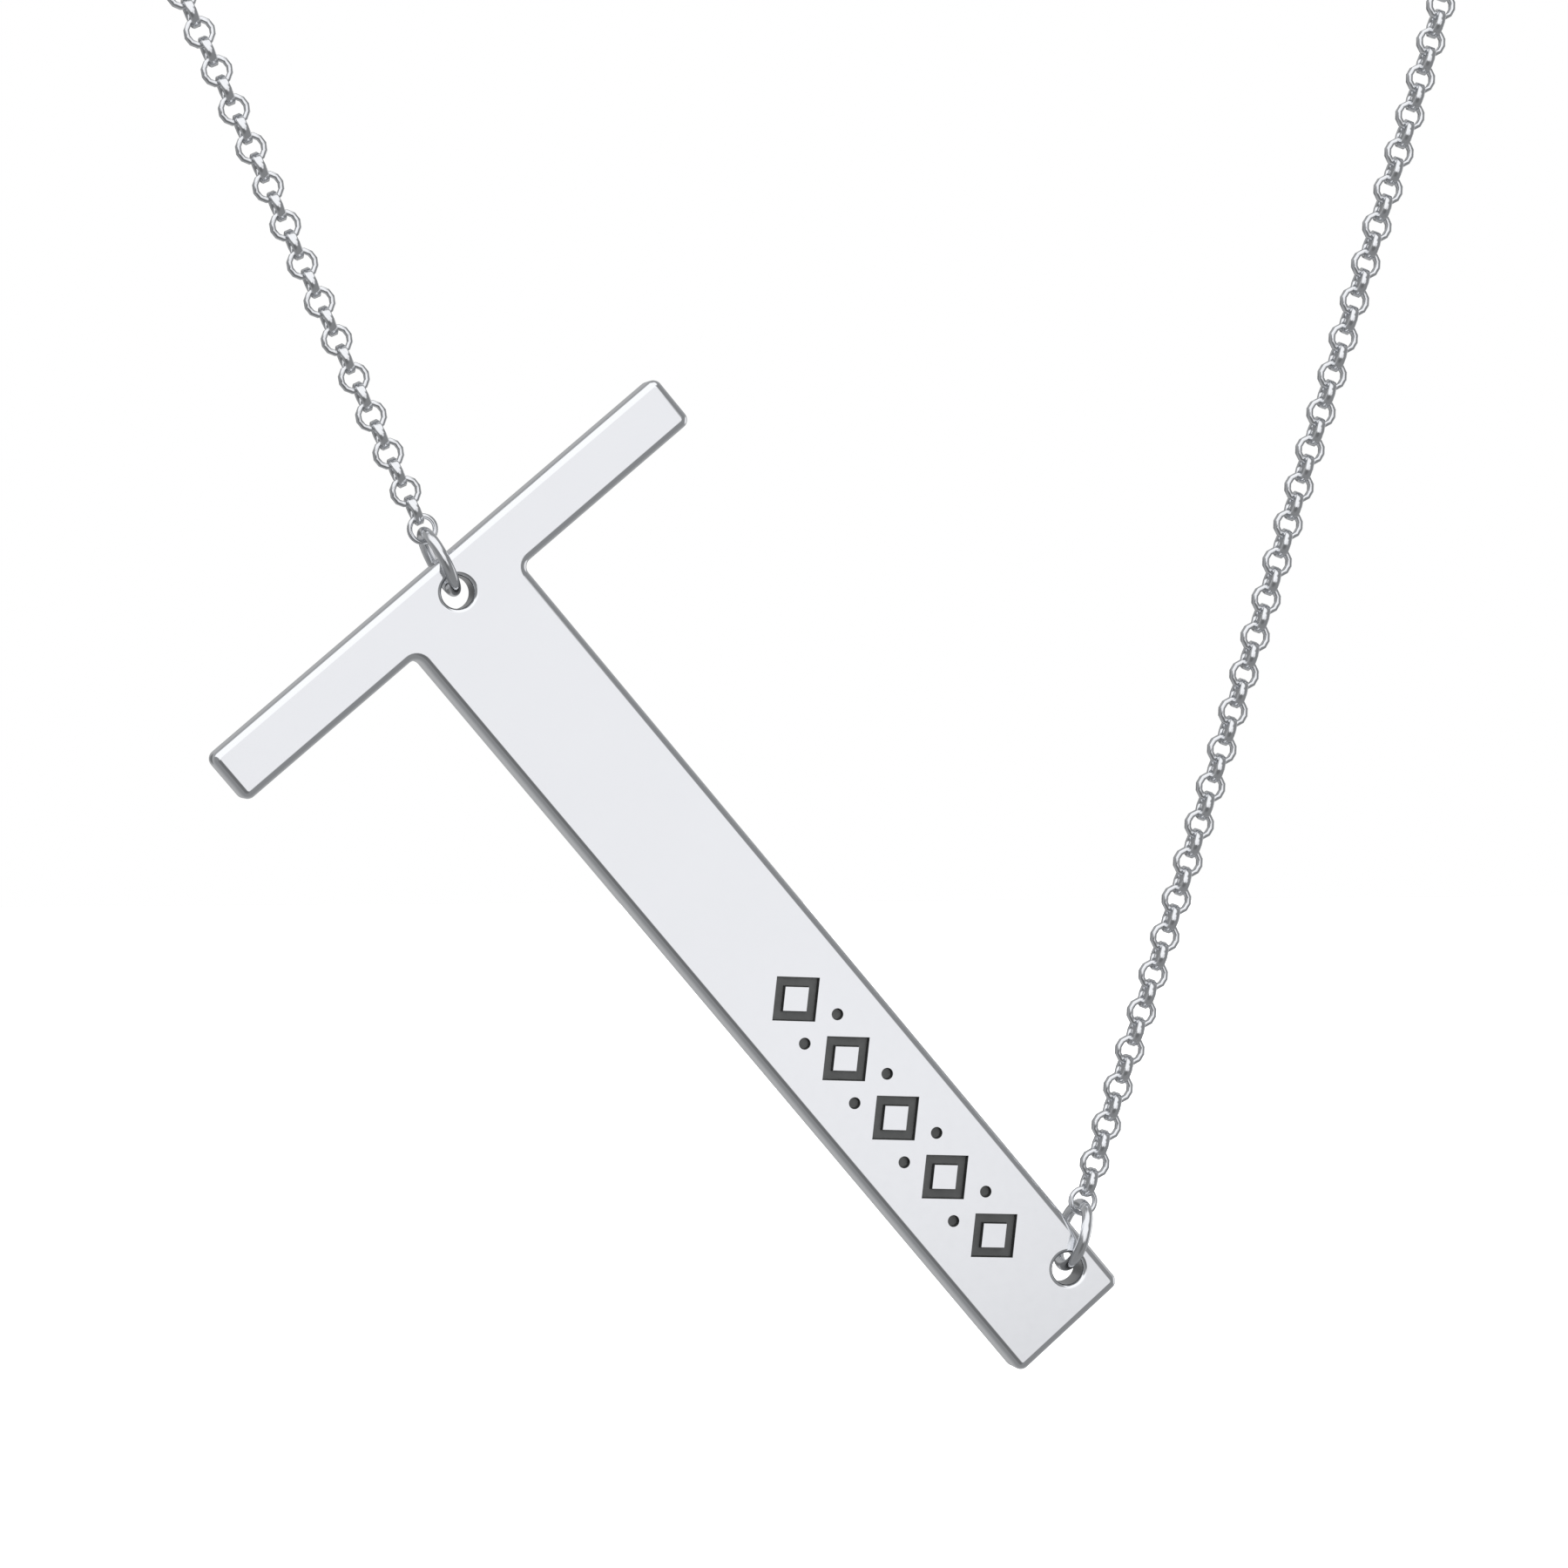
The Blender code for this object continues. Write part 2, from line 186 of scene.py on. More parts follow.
# The soft box is kept to a strip square to this direction, and fades out behind the necklace
SOFT_BOX_STRIP = ((-0.745, -0.188, -0.640), 22.0, 34.0)
SOFT_BOX_BACK = (-0.30, 0.05)

# The camera's fit to the photograph: two of its axes, the place in the picture of the middle of the
# bar's top edge, and the picture's middle and the focal length in the same steps
CAMERA_RIGHT = (0.969, -0.247, 0.0053)
CAMERA_AWAY = (0.247, 0.969, -0.0207)
BAR_TOP_SEEN = (499.5, 648.3)
PICTURE_MIDDLE = 900.0
FOCAL_STEPS = 5000.0


def setting(kind, name, default, about, **limits):
    """A value that a user can change."""
    return kind(name=name, description=about, default=default, **limits)


def turn(name, degrees, about):
    """An angle that a user can change."""
    return setting(FloatProperty, name, math.radians(degrees), about, subtype="ANGLE")


# The other kinds of value: a length, a value from 0 to 1, a colour, a place in the part's frame and
# a number of like pieces
length = partial(setting, FloatProperty, min=0.0, unit="LENGTH", precision=5)
share = partial(setting, FloatProperty, min=0.0, max=1.0, subtype="FACTOR")
colour = partial(setting, FloatVectorProperty, min=0.0, soft_max=1.0, subtype="COLOR")
position = partial(setting, FloatVectorProperty, subtype="TRANSLATION", unit="LENGTH")
number_of = partial(setting, IntProperty, min=2)


class PlateSizes(bpy.types.PropertyGroup):
    """The plate, its holes and its ornament."""

    plate_length: length("Plate length", 0.0500, "From the top of the bar to the foot of the stem")
    bar_length: length("Bar length", 0.0287, "From end to end of the bar")
    bar_height: length("Bar height", 0.00283, "Height of the bar")
    stem_width: length("Stem width", 0.00685, "Width of the stem")
    stem_shift: length("Stem shift", 0.00010, "How far left of the bar's middle the stem stands")
    thickness: length("Thickness", 0.0018, "Thickness of the plate")
    corner_radius: length("Corner radius", 0.00046, "Rounding of the outline's corners")
    front_fillet: length("Front fillet", 0.00041, "Rounding of the front edges")
    back_fillet: length("Back fillet", 0.00015, "Rounding of the back edges")
    bar_rise: turn("Bar rise", 40.7, "How steeply the bar rises to the right as the plate hangs")
    bar_top: position("Bar top", (-0.0155, -0.0465, -0.0840), "The middle of the bar's top edge")
    hole_radius: length("Hole radius", 0.00080, "Radius of the two holes")
    hole_rim: length("Hole rim", 0.00022, "Rounding of the rims of the holes")
    bar_hole_drop: length("Bar hole drop", 0.00173, "From the bar's top edge to its hole")
    foot_hole_inset: length("Foot hole inset", 0.00162, "From the stem's side to its hole")
    foot_hole_rise: length("Foot hole rise", 0.00240, "From the foot of the stem to its hole")
    ornament_length: length("Ornament length", 0.0188, "Length of the row of lozenges")
    ornament_width: length("Ornament width", 0.0032, "Width of each lozenge")
    ornament_foot: length("Ornament foot", 0.0048, "From the foot of the stem to the first lozenge")
    ornament_stroke: length("Ornament stroke", 0.00050, "Width of the sunk outline")
    ornament_depth: length("Ornament depth", 0.00030, "How deep the ornament is sunk")
    ornament_draft: length("Ornament draft", 0.00005, "How far its walls lean in at the floor")
    lozenge_length: length("Lozenge length", 0.0030, "Length of each lozenge")
    lozenges: number_of("Lozenges", 5, "Number of lozenges")
    dot_radius: length("Dot radius", 0.00030, "Radius of each dot")
    dot_spread: length("Dot spread", 0.0022, "From one dot of a pair to the other")


class WireSizes(bpy.types.PropertyGroup):
    """The jump rings, the links and the spring ring."""

    ring_radius: length("Ring radius", 0.00160, "Radius of a jump ring, to the middle of its wire")
    ring_wire: length("Ring wire", 0.00028, "Radius of a jump ring's wire")
    ring_play: length("Ring play", 0.00015, "Free room between a jump ring and what holds it")
    ring_joint: turn("Ring joint", 1.1, "Width of the fine butt joint in each jump ring")
    bar_ring_lean: turn("Bar ring lean", -28.0, "How far the bar's jump ring leans to the right")
    foot_ring_lean: turn("Foot ring lean", 17.5, "How far the foot's jump ring leans to the right")
    bar_ring_turn: turn("Bar ring turn", 1.0, "How far the bar's ring turns about its own lean")
    foot_ring_turn: turn("Foot ring turn", 3.0, "How far the foot's ring turns about its own lean")
    link_radius: length("Link radius", 0.000635, "Radius of a link, to the middle of its wire")
    link_wire: length("Link wire", 0.000135, "Radius of a link's wire")
    link_band: setting(FloatProperty, "Link band", 1.56, "How much broader than thick its wire is")
    link_flat: share("Link flat", 0.40, "How much of a link's wire is flat on each side")
    link_play: length("Link play", 0.00005, "Free room between an end link and what holds it")
    run_gap: length("Run gap", 0.00010, "From an end link to the curve of the chain's run")
    left_links: number_of("Left links", 185, "Number of links in the left run")
    right_links: number_of("Right links", 216, "Number of links in the right run")
    clasp_radius: length("Clasp radius", 0.00235, "Radius of the spring ring, to its tube's middle")
    clasp_wire: length("Clasp tube", 0.00065, "Radius of the spring ring's tube")
    clasp_seat: position("Clasp seat", (0.0, 0.0454, 0.0), "The middle of the spring ring")
    eye_radius: length("Eye radius", 0.00090, "Radius of the clasp's eye, to its wire's middle")
    eye_wire: length("Eye wire", 0.00030, "Radius of the wire of the clasp's eye")
    eye_sink: length("Eye sink", 0.00010, "How far the eye is soldered into the tube")
    lever_length: length("Lever length", 0.00120, "Length of the clasp's lever")


class SilverFinish(bpy.types.PropertyGroup):
    """The colours and the polish of the silver, and the painted shade in the holes and the clasp's
    slot.
    """

    plate_colour: colour("Plate", SLOT_COLOURS["plate_silver"], "Colour of the polished plate")
    wire_colour: colour("Wire", SLOT_COLOURS["wire_silver"], "Colour of the rings and links")
    sunk_colour: colour("Sunk", (0.21, 0.214, 0.212), "Colour of the darkened ornament")
    # Painted shade on the walls of the two holes: a darker grey than the plate's polish
    hole_shade_colour: colour("Drilled", (0.40, 0.405, 0.41), "Colour of the walls of the holes")
    # Painted shade inside the clasp's slot: near black
    dark_colour: colour("Slot", (0.05, 0.05, 0.05), "Colour inside the slot of the clasp")
    plate_roughness: share("Plate roughness", 0.09, "How dull the polish of the plate is")
    wire_roughness: share("Wire roughness", 0.14, "How dull the polish of the wire is")
    sunk_roughness: share("Sunk roughness", 0.50, "How dull the darkened ornament is")
    hole_wall_roughness: share("Drilled roughness", 0.30, "How dull the walls of the holes are")


class StudioLook(bpy.types.PropertyGroup):
    """The floor, the soft light and the camera."""

    floor_drop: length("Floor drop", 0.40, "How far the floor lies below the nape")
    floor_size: length("Floor size", 12.0, "Width of the floor")
    room: colour("Room", (0.270, 0.275, 0.280), "Light from the dim sides of the studio")
    far_wall: colour("Far wall", (0.430, 0.435, 0.440), "Light from behind the plate")
    flag: colour("Flag", (0.172, 0.175, 0.177), "Light from the two dark flags")
    right_card: colour("Right card", (0.90, 0.90, 0.91), "Light from the card on the right")
    front_card: colour("Front card", (0.973, 0.973, 0.988), "Light from the card in front")
    soft_box: colour("Soft box", (1.15, 1.155, 1.165), "Light from the soft box and the top card")
    lens: setting(FloatProperty, "Lens", 100.0, "Focal length", min=1.0, unit="CAMERA")
    distance: length("Distance", 0.2103, "From the camera to the bar's top edge, along its view")


def join_doubles(bm):
    """Merges points that fell together and points every face outwards."""
    bmesh.ops.remove_doubles(bm, verts=bm.verts[:], dist=MERGE)
    bmesh.ops.recalc_face_normals(bm, faces=bm.faces[:])


def moved_points(result):
    """The points that an extrusion made."""
    return [part for part in result["geom"] if isinstance(part, bmesh.types.BMVert)]


def round_off(bm, parts, radius, steps, affect="EDGES"):
    """Rounds edges, or the corners of a flat outline."""
    bmesh.ops.bevel(
        bm, geom=parts, affect=affect, offset=radius, segments=steps, profile=0.5, material=-1
    )


def spin(bm, section, centre, axis, sweep, steps, closed):
    """Sweeps a section round an axis."""
    bmesh.ops.spin(
        bm, geom=section, cent=centre, axis=axis, angle=sweep, steps=steps, use_merge=closed
    )


def add_rod(bm, place, foot, head, tall, steps):
    """Adds a rod about a place's +Z, with a radius at its foot and one at its head."""
    return bmesh.ops.create_cone(
        bm, cap_ends=True, segments=steps, radius1=foot, radius2=head, depth=tall, matrix=place
    )["verts"]


def edges_at(points):
    """The edges that meet at the points, each once and always in the same order."""
    return list(dict.fromkeys(edge for point in points for edge in point.link_edges))


def cut_rims(edges):
    """Those of the edges that lie round a cut end."""
    return [edge for edge in edges if edge.calc_face_angle(0.0) > RIM_TURN]


def add_object(name, bm):
    """Makes an object of the shape, which is used up."""
    mesh = bpy.data.meshes.new(name)
    bm.to_mesh(mesh)
    bm.free()
    piece = bpy.data.objects.new(name, mesh)
    bpy.context.scene.collection.objects.link(piece)
    return piece


def finish_piece(piece, body, node, materials, crease=35.0):
    """Gives a piece its finish, and says what it rides on and which CAD node it replaces."""
    for material in materials:
        piece.data.materials.append(material)
    piece.data.shade_smooth()
    piece.data.set_sharp_from_angle(angle=math.radians(crease))
    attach(piece, body)
    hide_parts(node)


def ring_place(centre, normal, start):
    """Lays a ring made about +Z round a normal, with its +X turned to a direction in its plane."""
    across = normal.cross(start)
    turned = Matrix((start, across, normal)).transposed().to_4x4()
    return Matrix.Translation(centre) @ turned


def wire_section(bm, wire, wire_steps, flat, band):
    """A round section about +Z, or one whose corners are moved apart so that its sides are flat."""
    radius = wire * (1.0 - flat)
    turned = Matrix.Rotation(math.pi / wire_steps, 4, "Z")
    made = bmesh.ops.create_circle(bm, segments=wire_steps, radius=radius, matrix=turned)
    points = made["verts"]
    for axis, apart in ((0, wire * flat), (1, wire * (flat + band - 1.0))):
        for side in (-1.0, 1.0):
            half = [point for point in points if point.co[axis] * side > 0.0]
            shift = Vector()
            shift[axis] = side * apart
            bmesh.ops.translate(bm, verts=half, vec=shift)
    return points


def on_ring(radius, angle):
    """Stands a shape made about +Z on a ring about +Z, with its own +Z along the ring."""
    out = Matrix.Translation((radius, 0.0, 0.0))
    return Matrix.Rotation(angle, 4, "Z") @ out @ Matrix.Rotation(QUARTER, 4, "X")


def bend_wire(bm, radius, wire, cuts, flat=0.0, band=1.0, start=0.0, sweep=math.tau):
    """Bends a wire about +Z, and gives it two flat ends unless it goes all the way round."""
    wire_steps, steps = cuts
    closed = math.isclose(sweep, math.tau)
    before = set(bm.faces)
    points = wire_section(bm, wire, wire_steps, flat, band)
    bmesh.ops.transform(bm, matrix=on_ring(radius, start), verts=points)
    spin(bm, points + edges_at(points), Vector(), UP, sweep, steps, closed)
    if not closed:
        rims = [edge for edge in bm.edges if edge.is_boundary]
        bmesh.ops.holes_fill(bm, edges=rims, sides=wire_steps)
    made = [face for face in bm.faces if face not in before]
    bmesh.ops.recalc_face_normals(bm, faces=made)
    return made


def closed_link(name, wire, flat, band, place):
    """A link with no joint."""
    bm = bmesh.new()
    bend_wire(bm, wire.link_radius, wire.link_wire, END_LINK_CUT, flat, band)
    bmesh.ops.transform(bm, matrix=place, verts=bm.verts[:])
    join_doubles(bm)
    return add_object(name, bm)


def jointed_ring(name, sizes, place):
    """A jump ring whose two ends meet in a fine butt joint with softened edges."""
    bm = bmesh.new()
    gap = sizes.ring_joint
    span = {"start": gap / 2, "sweep": math.tau - gap}
    bend_wire(bm, sizes.ring_radius, sizes.ring_wire, RING_CUT, **span)
    round_off(bm, cut_rims(bm.edges), sizes.ring_wire * JOINT_ROUNDING, JOINT_STEPS)
    bmesh.ops.transform(bm, matrix=place, verts=bm.verts[:])
    join_doubles(bm)
    return add_object(name, bm)


def plate_turn(plate):
    """The plate is modelled upright, with its bar along X and its stem down -Z, and then turned."""
    return Matrix.Translation(Vector(plate.bar_top)) @ Matrix.Rotation(-plate.bar_rise, 4, "Y")


def plate_outline(plate):
    """The corners of the upright T, as X and Z, round from the bar's upper left."""
    half_bar = plate.bar_length / 2
    stem_left = -plate.stem_width / 2 - plate.stem_shift
    stem_right = plate.stem_width / 2 - plate.stem_shift
    return [
        (-half_bar, 0.0),
        (-half_bar, -plate.bar_height),
        (stem_left, -plate.bar_height),
        (stem_left, -plate.plate_length),
        (stem_right, -plate.plate_length),
        (stem_right, -plate.bar_height),
        (half_bar, -plate.bar_height),
        (half_bar, 0.0),
    ]


def hole_places(plate):
    """The middles of the two holes on the upright plate."""
    foot_side = plate.stem_width / 2 - plate.stem_shift - plate.foot_hole_inset
    return (
        Vector((0.0, 0.0, -plate.bar_hole_drop)),
        Vector((foot_side, 0.0, plate.foot_hole_rise - plate.plate_length)),
    )


def plate_blank(plate):
    """The T with its corners and its front and back edges rounded, before it is pierced."""
    bm = bmesh.new()
    front = -plate.thickness / 2
    corners = [bm.verts.new((x, front, z)) for x, z in plate_outline(plate)]
    bm.faces.new(corners)
    round_off(bm, corners, plate.corner_radius, CORNER_STEPS, affect="VERTICES")
    walls = bmesh.ops.extrude_face_region(bm, geom=bm.faces[:])
    bmesh.ops.translate(bm, verts=moved_points(walls), vec=(0.0, plate.thickness, 0.0))
    bmesh.ops.recalc_face_normals(bm, faces=bm.faces[:])
    for side, fillet in ((-1.0, plate.front_fillet), (1.0, plate.back_fillet)):
        level = side * plate.thickness / 2
        rim = [edge for edge in bm.edges if all(abs(v.co.y - level) < MERGE for v in edge.verts)]
        round_off(bm, rim, fillet, FILLET_STEPS)
    return bm


def hole_profile(plate):
    """Half the cut of a hole, from one side of the plate to the other, as radius and depth."""
    half = plate.thickness / 2
    rim = []
    for step in range(RIM_STEPS + 1):
        angle = QUARTER * (1 - step / RIM_STEPS)
        out = plate.hole_radius + plate.hole_rim * (1 - math.cos(angle))
        rim.append((out, half - plate.hole_rim * (1 - math.sin(angle))))
    run = rim[0][0] - rim[1][0]
    rise = rim[0][1] - rim[1][1]
    mouth = (rim[0][0] + MOUTH_REACH * run, rim[0][1] + MOUTH_REACH * rise)
    top = [(0.0, mouth[1]), mouth] + rim[1:]
    return top + [(out, -depth) for out, depth in reversed(top)]


def add_hole_plug(bm, plate, place):
    """A turned plug with flared ends, which leaves a hole with rounded rims."""
    before = set(bm.verts)
    points = [
        bm.verts.new((place.x + out, depth, place.z)) for out, depth in hole_profile(plate)
    ]
    edges = [bm.edges.new(pair) for pair in zip(points, points[1:])]
    spin(bm, points + edges, place, -FRONT, math.tau, HOLE_STEPS, True)
    made = [vert for vert in bm.verts if vert not in before]
    bmesh.ops.remove_doubles(bm, verts=made, dist=MERGE)


def lozenge_corners(bm, middle, y, width, tall):
    """The four corners of a lozenge on the plane at a depth."""
    ends = [(0.0, tall / 2), (-width / 2, 0.0), (0.0, -tall / 2), (width / 2, 0.0)]
    return [bm.verts.new((x, y, middle + z)) for x, z in ends]


def add_lozenge(bm, plate, middle):
    """A cutter for one sunk lozenge outline, whose walls lean in towards the floor."""
    width = plate.ornament_width
    tall = plate.lozenge_length
    reach = width * tall / 2 / math.hypot(width, tall)
    floor = plate.ornament_depth - plate.thickness / 2
    top = floor - 2 * plate.ornament_depth
    draft = plate.ornament_draft
    loops = []
    for depth, inset in ((floor, draft), (top, -draft)):
        outer = 1 - inset / reach
        inner = 1 - (plate.ornament_stroke - inset) / reach
        for scale in (outer, inner):
            loops.append(lozenge_corners(bm, middle, depth, width * scale, tall * scale))
    floor_outer, floor_inner, top_outer, top_inner = loops
    for first, second in (
        (floor_outer, floor_inner),
        (top_outer, top_inner),
        (floor_outer, top_outer),
        (floor_inner, top_inner),
    ):
        edges = []
        for loop in (first, second):
            for start, end in zip(loop, loop[1:] + loop[:1]):
                edges.append(bm.edges.get((start, end)) or bm.edges.new((start, end)))
        bmesh.ops.bridge_loops(bm, edges=edges)


def add_dot(bm, plate, side, middle):
    """A cutter for one round dot, narrower at its floor."""
    floor = plate.ornament_depth - plate.thickness / 2
    depth = 2 * plate.ornament_depth
    place = Matrix.Translation((side, floor - depth / 2, middle)) @ Matrix.Rotation(QUARTER, 4, "X")
    small = plate.dot_radius - plate.ornament_draft
    large = plate.dot_radius + plate.ornament_draft
    add_rod(bm, place, small, large, depth, DOT_STEPS)


def plate_cutter(plate):
    """All that is cut out of the plate: its two holes and its ornament."""
    bm = bmesh.new()
    foot = plate.ornament_foot - plate.plate_length
    pitch = (plate.ornament_length - plate.lozenge_length) / (plate.lozenges - 1)
    for number in range(plate.lozenges):
        middle = foot + plate.lozenge_length / 2 + number * pitch
        add_lozenge(bm, plate, middle)
        if number > 0:
            add_dot(bm, plate, -plate.dot_spread / 2, middle - pitch / 2)
            add_dot(bm, plate, plate.dot_spread / 2, middle - pitch / 2)
    bmesh.ops.translate(bm, verts=bm.verts[:], vec=(-plate.stem_shift, 0.0, 0.0))
    for place in hole_places(plate):
        add_hole_plug(bm, plate, place)
    bmesh.ops.recalc_face_normals(bm, faces=bm.faces[:])
    return add_object("plate_cutter", bm)


def cut(piece, cutter):
    """Takes the cutter's shape out of the piece for good."""
    boolean = piece.modifiers.new("cut", "BOOLEAN")
    boolean.operation = "DIFFERENCE"
    boolean.solver = "EXACT"
    boolean.object = cutter
    bpy.context.view_layer.objects.active = piece
    bpy.ops.object.modifier_apply(modifier=boolean.name)
    bpy.data.objects.remove(cutter, do_unlink=True)


def finish_cuts(bm, plate):
    """The sunk ornament gets the second material, its patina; the hole walls get the third, painted
    shade.
    """
    front = -plate.thickness / 2
    floor = front + plate.ornament_depth
    foot = plate.ornament_foot - plate.plate_length
    head = foot + plate.ornament_length
    reach = plate.hole_radius * 1.01
    for face in bm.faces:
        middle = face.calc_center_median()
        sunk = front + MERGE < middle.y < floor + MERGE
        beside = abs(middle.x + plate.stem_shift) < plate.ornament_width / 2 + MERGE
        if sunk and beside and foot - MERGE < middle.z < head + MERGE:
            face.material_index = 1
        # The walls of the holes get the painted shade
        for place in hole_places(plate):
            if math.hypot(middle.x - place.x, middle.z - place.z) < reach:
                face.material_index = 2


def make_plate(plate, finish):
    """The plate, pierced and engraved: its polish, the ornament's patina and painted shade in the
    holes.
    """
    piece = add_object("pendant_plate", plate_blank(plate))
    cut(piece, plate_cutter(plate))
    bm = bmesh.new()
    bm.from_mesh(piece.data)
    bmesh.ops.remove_doubles(bm, verts=bm.verts[:], dist=MERGE)
    finish_cuts(bm, plate)
    bmesh.ops.transform(bm, matrix=plate_turn(plate), verts=bm.verts[:])
    bm.to_mesh(piece.data)
    bm.free()
    polished = polished_silver("plate_polish", finish.plate_colour, finish.plate_roughness)
    sunk = darkened_silver("ornament_patina", finish.sunk_colour, finish.sunk_roughness)
    # The third material is painted shade on the walls of the holes, darker than the polish
    hole_shade = darkened_silver("painted_hole_shade", finish.hole_shade_colour, finish.hole_wall_roughness)
    finish_piece(piece, "pendant", "initial_plate", [polished, sunk, hole_shade])
    # The wide flat faces set the shading where they run into a rounded edge
    piece.modifiers.new("even_normals", "WEIGHTED_NORMAL").keep_sharp = True


def lean(angle):
    """A direction in the plate's plane, leaning from straight up towards +X."""
    return Vector((math.sin(angle), 0.0, math.cos(angle)))


def link_offset(wire):
    """How far a link's middle lies past the inner side of the wire that it hangs on."""
    return wire.link_radius - wire.link_wire - wire.link_play


def link_reach(wire):
    """From an end link's middle to the start of the curve of the chain's run."""
    return wire.link_radius + wire.link_wire + wire.run_gap


def ring_middle(plate, wire, hole, along):
    """The middle of the jump ring that hangs in a hole of the plate, with play at its rim."""
    inner = wire.ring_radius - wire.ring_wire - wire.ring_play
    rounded = plate.hole_rim * (1 - math.sqrt(0.5))
    depth = plate.thickness / 2 - rounded
    seat = plate.hole_radius + rounded + math.sqrt(inner**2 - depth**2)
    return plate_turn(plate) @ hole + along * seat


def front_link(plate, wire, hole, along, first_point):
    """The middle of an end link in its jump ring, and where the curve of its run starts."""
    pivot = ring_middle(plate, wire, hole, along) + along * (wire.ring_radius - wire.ring_wire)
    onward = (first_point - pivot).normalized()
    middle = pivot + onward * link_offset(wire)
    return middle, middle + onward * link_reach(wire)


def front_links(plate, wire):
    """The end link's middle and the start of the run on the left, and then on the right."""
    bar_hole, foot_hole = hole_places(plate)
    left = front_link(plate, wire, bar_hole, lean(wire.bar_ring_lean), Vector(CHEST_LEFT[0]))
    right = front_link(plate, wire, foot_hole, lean(wire.foot_ring_lean), Vector(CHEST_RIGHT[0]))
    return left, right


def eye_middle(wire):
    """The middle of the clasp's eye, whose wire is sunk a little into the spring ring."""
    reach = wire.clasp_radius + wire.clasp_wire + wire.eye_radius - wire.eye_sink
    return Vector(wire.clasp_seat) - RIGHT * reach


def catch_middle(wire):
    """The middle of the jump ring that the spring ring closes on."""
    reach = wire.clasp_radius - wire.clasp_wire - wire.ring_play - wire.ring_wire + wire.ring_radius
    return Vector(wire.clasp_seat) + RIGHT * reach


def back_links(wire):
    """The middles of the last links at the nape, on the left and on the right."""
    eye_held = eye_middle(wire) - RIGHT * (wire.eye_radius - wire.eye_wire)
    ring_held = catch_middle(wire) + RIGHT * (wire.ring_radius - wire.ring_wire)
    return eye_held - RIGHT * link_offset(wire), ring_held + RIGHT * link_offset(wire)


def make_jump_rings(plate, wire, material):
    """The two jump rings of the plate, each in the plane of the front and its own lean."""
    bar_hole, foot_hole = hole_places(plate)
    seats = (
        ("left", bar_hole, wire.bar_ring_lean, wire.bar_ring_turn, BAR_JOINT_PLACE),
        ("right", foot_hole, wire.foot_ring_lean, wire.foot_ring_turn, FOOT_JOINT_PLACE),
    )
    for side, hole, ring_lean, ring_turn, joint in seats:
        along = lean(ring_lean)
        centre = ring_middle(plate, wire, hole, along)
        front = Matrix.Rotation(ring_turn, 3, along) @ FRONT
        start = along * math.cos(joint) + front * math.sin(joint)
        place = ring_place(centre, along.cross(front), start)
        ring = jointed_ring(f"plate_ring_{side}", wire, place)
        finish_piece(ring, "pendant", f"jump_ring_{side}", [material])


def make_end_links(plate, wire, material):
    """The four links that the runs end in, of round wire where the plate has to rock freely."""
    left, right = front_links(plate, wire)
    back_left, back_right = back_links(wire)
    flat, band = wire.link_flat, wire.link_band
    seats = (
        ("front_link_left", "end_link_left", left[0], FRONT, 0.0, 1.0),
        ("front_link_right", "end_link_right", right[0], FRONT, 0.0, 1.0),
        ("nape_link_left", "back_link_left", back_left, UP, flat, band),
        ("nape_link_right", "back_link_right", back_right, FRONT, flat, band),
    )
    for name, node, middle, normal, link_flat, link_band in seats:
        place = ring_place(middle, normal, RIGHT)
        link = closed_link(name, wire, link_flat, link_band, place)
        finish_piece(link, "necklace", node, [material])


def curve_point(before, start, end, after, part):
    """A point between start and end on the smooth curve through all four."""
    return 0.5 * (
        2 * start
        + (end - before) * part
        + (2 * before - 5 * start + 4 * end - after) * part**2
        + (3 * start - before - 3 * end + after) * part**3
    )


def smooth_route(points):
    """A dense smooth curve through the points, straight at its two ends."""
    first = 2 * points[0] - points[1]
    last = 2 * points[-1] - points[-2]
    padded = [first, *points, last]
    dense = []
    for place in range(len(points) - 1):
        for step in range(CURVE_STEPS):
            dense.append(curve_point(*padded[place : place + 4], step / CURVE_STEPS))
    dense.append(points[-1])
    return dense


def even_points(route, count):
    """Points an even distance apart along the route, one more than the count of gaps."""
    lengths = [(b - a).length for a, b in zip(route, route[1:])]
    pitch = sum(lengths) / count
    points = [route[0]]
    walked = 0.0
    for start, end, span in zip(route, route[1:], lengths):
        while len(points) < count and walked + span >= len(points) * pitch:
            points.append(start.lerp(end, (len(points) * pitch - walked) / span))
        walked += span
    points.append(route[-1])
    return points


def signed_turn(axis, first, second):
    """The turn about the axis that takes one direction to the other."""
    return math.atan2(axis.dot(first.cross(second)), first.dot(second))


def carried_normals(directions, first_normal):
    """The first link's normal carried along the run without any twist of its own."""
    normals = []
    normal = first_normal
    for direction in directions:
        normal = (normal - direction * normal.dot(direction)).normalized()
        normals.append(normal)
    return normals


def run_places(route, count, first_normal, last_normal):
    """Where each link of a run goes, each a quarter turn on from the one before."""
    points = even_points(route, count + 1)
    ahead = points[1:] + points[-1:]
    behind = points[:1] + points[:-1]
    directions = [(after - before).normalized() for after, before in zip(ahead, behind)]
    normals = carried_normals(directions, first_normal)
    last_turn = signed_turn(directions[-1], normals[-1], last_normal) - (count + 1) * QUARTER
    last_turn = (last_turn + QUARTER) % math.pi - QUARTER
    places = []
    for number in range(1, count + 1):
        done = max(0.0, (number - CHEST_LINKS) / (count + 1 - CHEST_LINKS))
        twist = last_turn * done * done * (3 - 2 * done)
        axis = directions[number]
        turned = Matrix.Rotation(number * QUARTER + twist, 3, axis) @ normals[number]
        places.append(ring_place(points[number], turned, axis))
    return places


